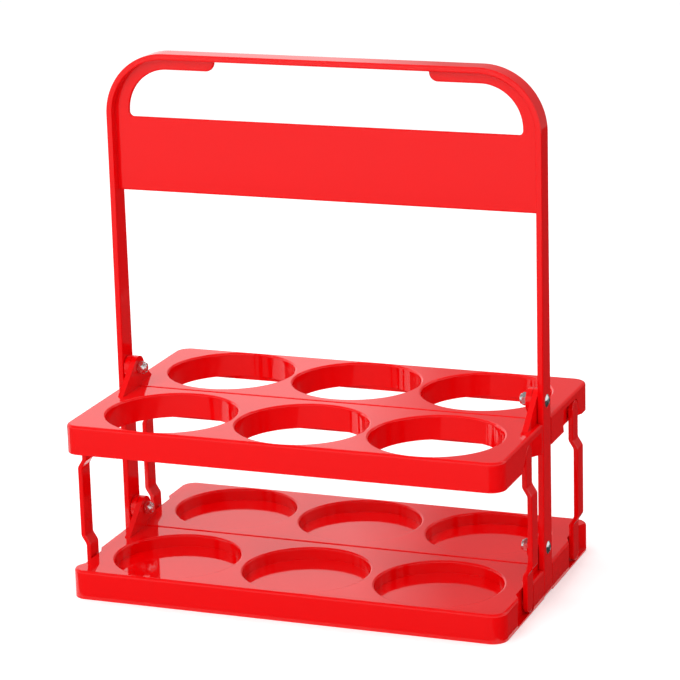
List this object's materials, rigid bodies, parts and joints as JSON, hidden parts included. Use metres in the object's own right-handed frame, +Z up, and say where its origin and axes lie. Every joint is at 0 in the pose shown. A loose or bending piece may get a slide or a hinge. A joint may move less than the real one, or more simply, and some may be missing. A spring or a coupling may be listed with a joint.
{
  "type": "folding bottle carrier",
  "caption": "Folding plastic bottle carrier: two levels of hinged half trays with round bottle holes, tied by cranked links and hung on a tall flat handle frame.",
  "frame": {"origin": "middle of the base, on the surface that the carrier stands on", "axes": "+X along the carrier to its right-hand end, +Y to the back, +Z up to the handle"},
  "size_m": [0.307, 0.194, 0.3495],
  "materials": {
    "handle_plastic": "gloss",
    "tray_plastic": "gloss",
    "link_plastic": "gloss",
    "bolt_steel": "zinc plated",
    "nut_steel": "zinc plated"
  },
  "bodies": {
    "frame": {"handle_frame": "handle_plastic", "hinge_bolt_upper_right": "bolt_steel", "hinge_bolt_upper_left": "bolt_steel", "hinge_bolt_lower_right": "bolt_steel", "hinge_bolt_lower_left": "bolt_steel", "lock_nut_upper_right": "nut_steel", "lock_nut_upper_left": "nut_steel", "lock_nut_lower_right": "nut_steel", "lock_nut_lower_left": "nut_steel"},
    "lower_front": {"lower_tray_front": "tray_plastic"},
    "upper_front": {"upper_tray_front": "tray_plastic"},
    "link_front_right": {"link_front_right": "link_plastic"},
    "link_front_left": {"link_front_left": "link_plastic"},
    "lower_back": {"lower_tray_back": "tray_plastic"},
    "upper_back": {"upper_tray_back": "tray_plastic"},
    "link_back_right": {"link_back_right": "link_plastic"},
    "link_back_left": {"link_back_left": "link_plastic"}
  },
  "joints": [
    {"name": "front_fold", "type": "hinge", "parent": "frame", "child": "lower_front", "pos_m": [0, 0, 0.0325], "axis": [-1, 0, 0], "range_deg": [0, 90]},
    {"name": "front_upper_fold", "type": "hinge", "parent": "frame", "child": "upper_front", "pos_m": [0, 0, 0.1325], "axis": [-1, 0, 0], "range_deg": [0, 90]},
    {"name": "front_right_link_pivot", "type": "hinge", "parent": "lower_front", "child": "link_front_right", "pos_m": [0.1447, -0.0395, 0.008], "axis": [-1, 0, 0], "range_deg": [-90, 0]},
    {"name": "front_left_link_pivot", "type": "hinge", "parent": "lower_front", "child": "link_front_left", "pos_m": [-0.1447, -0.064, 0.008], "axis": [-1, 0, 0], "range_deg": [-90, 0]},
    {"name": "back_fold", "type": "hinge", "parent": "frame", "child": "lower_back", "pos_m": [0, 0, 0.0325], "axis": [1, 0, 0], "range_deg": [0, 90]},
    {"name": "back_upper_fold", "type": "hinge", "parent": "frame", "child": "upper_back", "pos_m": [0, 0, 0.1325], "axis": [1, 0, 0], "range_deg": [0, 90]},
    {"name": "back_right_link_pivot", "type": "hinge", "parent": "lower_back", "child": "link_back_right", "pos_m": [0.1447, 0.064, 0.008], "axis": [1, 0, 0], "range_deg": [-90, 0]},
    {"name": "back_left_link_pivot", "type": "hinge", "parent": "lower_back", "child": "link_back_left", "pos_m": [-0.1447, 0.0395, 0.008], "axis": [1, 0, 0], "range_deg": [-90, 0]}
  ],
  "couplings": [
    {"joint": "front_upper_fold", "follows": "front_fold", "ratio": 1},
    {"joint": "front_right_link_pivot", "follows": "front_fold", "ratio": -1},
    {"joint": "front_left_link_pivot", "follows": "front_fold", "ratio": -1},
    {"joint": "back_upper_fold", "follows": "back_fold", "ratio": 1},
    {"joint": "back_right_link_pivot", "follows": "back_fold", "ratio": -1},
    {"joint": "back_left_link_pivot", "follows": "back_fold", "ratio": -1}
  ]
}
